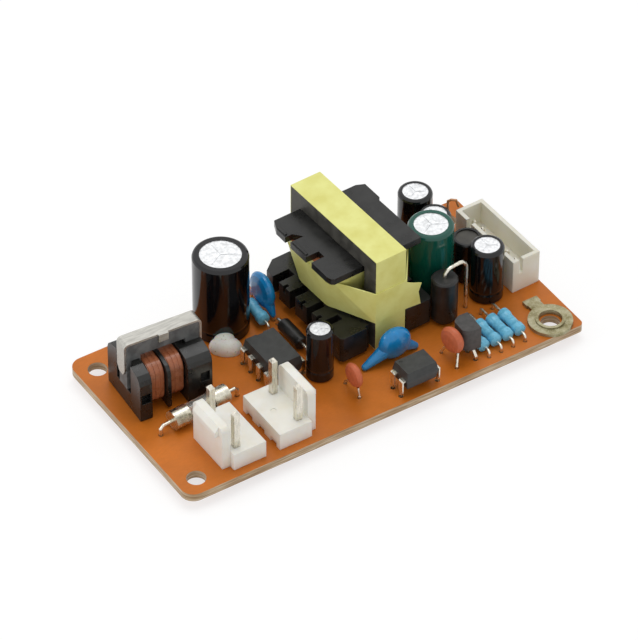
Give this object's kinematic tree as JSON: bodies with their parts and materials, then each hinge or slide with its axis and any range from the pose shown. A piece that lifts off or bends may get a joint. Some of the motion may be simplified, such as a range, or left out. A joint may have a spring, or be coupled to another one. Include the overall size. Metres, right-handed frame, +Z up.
{
  "type": "open frame power supply",
  "caption": "Open-frame mains power supply board with a choke, bulk capacitor, tape-wound transformer, wire headers, output capacitors and an earth lug.",
  "frame": {"origin": "centre of the assembly's footprint at the tips of the soldered leads", "axes": "+X along the board's long edge to the output header, +Y to the edge behind the transformer, +Z up from the board"},
  "size_m": [0.082, 0.0408, 0.0236],
  "materials": {
    "laminate": "satin solder mask",
    "solder": "satin",
    "tinned": "satin",
    "lug_metal": "dull nickel",
    "nylon": "satin nylon",
    "fuse_glass": "clear",
    "ferrite": "satin",
    "black_plastic": "glossy moulded",
    "copper": "enamelled wire",
    "strap_metal": "nickel",
    "aluminium": "satin",
    "black_sleeve": "glossy shrunk film",
    "green_sleeve": "glossy shrunk film",
    "rubber": "matte",
    "glue": "waxy",
    "mould_black": "fine matte",
    "lacquer_blue": "satin lacquer",
    "epoxy_blue": "glossy dipped",
    "ceramic_orange": "matte dipped",
    "tape": "satin film",
    "enamel_wire": "enamelled wire",
    "cream_plastic": "satin nylon"
  },
  "bodies": {
    "root": {"board": "laminate", "solder_joints": "solder", "earth_lug": "lug_metal", "header_1": "nylon", "header_1_pins": "tinned", "header_2": "nylon", "header_2_pins": "tinned", "fuse_tube": "fuse_glass", "fuse_caps": "tinned", "fuse_leads": "tinned", "choke_core_left": "ferrite", "choke_core_right": "ferrite", "choke_bobbin": "black_plastic", "choke_winding_1": "copper", "choke_winding_2": "copper", "choke_clip": "strap_metal", "choke_pins": "tinned", "bulk_can": "aluminium", "bulk_sleeve": "black_sleeve", "bulk_seal": "rubber", "glue": "glue", "chip_body": "mould_black", "chip_leads": "tinned", "start_resistor": "lacquer_blue", "clamp_disc": "epoxy_blue", "clamp_diode": "mould_black", "small_cans": "aluminium", "supply_sleeve": "black_sleeve", "green_sleeve": "green_sleeve", "front_sleeve": "black_sleeve", "middle_sleeve": "black_sleeve", "rear_sleeve": "black_sleeve", "small_can_seals": "rubber", "core_upper": "ferrite", "core_lower": "ferrite", "transformer_bobbin": "black_plastic", "transformer_winding": "copper", "winding_tape": "tape", "belt_tape": "tape", "core_tape": "tape", "transformer_pins": "tinned", "safety_capacitor": "epoxy_blue", "small_disc": "ceramic_orange", "opto_body": "mould_black", "opto_leads": "tinned", "output_diode": "mould_black", "diode_leads": "tinned", "feedback_disc": "ceramic_orange", "regulator_body": "mould_black", "regulator_leads": "tinned", "resistors": "lacquer_blue", "disc_leads": "tinned", "axial_leads": "tinned", "can_leads": "tinned", "drum_core": "ferrite", "drum_sleeve": "black_sleeve", "wire_hook": "enamel_wire", "output_header": "cream_plastic", "output_pins": "tinned"}
  },
  "joints": []
}
